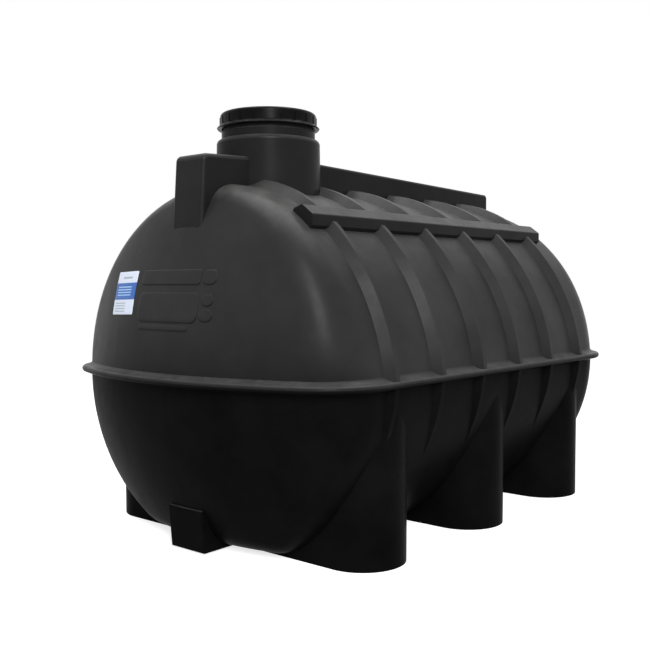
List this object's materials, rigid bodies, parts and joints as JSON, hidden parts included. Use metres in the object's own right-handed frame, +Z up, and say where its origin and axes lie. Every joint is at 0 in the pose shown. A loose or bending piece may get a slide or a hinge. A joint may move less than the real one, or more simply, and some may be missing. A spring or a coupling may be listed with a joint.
{
  "type": "horizontal storage tank",
  "caption": "Horizontal moulded water tank on short legs, with a mid lip, hoop ribs, shoulder rails and a neck closed by a screw lid.",
  "frame": {"origin": "on the ground under the middle of the tank's overall box", "axes": "+X along the tank from the neck towards the plain end, +Y across it, +Z up"},
  "size_m": [2.026, 1.292, 1.4163],
  "materials": {
    "moulded_shell": "satin black polyethylene",
    "lid_plastic": "gloss black",
    "seal_rubber": "matte black"
  },
  "bodies": {
    "tank": {"near_end_upper": "moulded_shell", "upper_barrel": "moulded_shell", "far_end_upper": "moulded_shell", "near_end_lower": "moulded_shell", "lower_barrel": "moulded_shell", "far_end_lower": "moulded_shell", "lip_left": "moulded_shell", "lip_right": "moulded_shell", "lip_far": "moulded_shell", "lip_near": "moulded_shell", "neck_collar": "moulded_shell", "neck_rim": "moulded_shell", "front_block": "moulded_shell", "rear_fin": "moulded_shell", "left_rail": "moulded_shell", "right_rail": "moulded_shell", "upper_rib_1": "moulded_shell", "upper_rib_2": "moulded_shell", "upper_rib_3": "moulded_shell", "upper_rib_4": "moulded_shell", "upper_rib_5": "moulded_shell", "upper_rib_6": "moulded_shell", "lower_rib_1": "moulded_shell", "lower_rib_2": "moulded_shell", "lower_rib_3": "moulded_shell", "lower_rib_4": "moulded_shell", "lower_rib_5": "moulded_shell", "lower_rib_6": "moulded_shell", "near_left_leg": "moulded_shell", "near_right_leg": "moulded_shell", "middle_left_leg": "moulded_shell", "middle_right_leg": "moulded_shell", "far_left_leg": "moulded_shell", "far_right_leg": "moulded_shell", "near_drain_pad": "moulded_shell", "far_drain_pad": "moulded_shell"},
    "lid": {"lid": "lid_plastic", "lid_seal": "seal_rubber"}
  },
  "joints": [
    {"name": "lid_lift", "type": "slide", "parent": "tank", "child": "lid", "axis": [0, 0, 1], "range_m": [0, 0.15]}
  ]
}
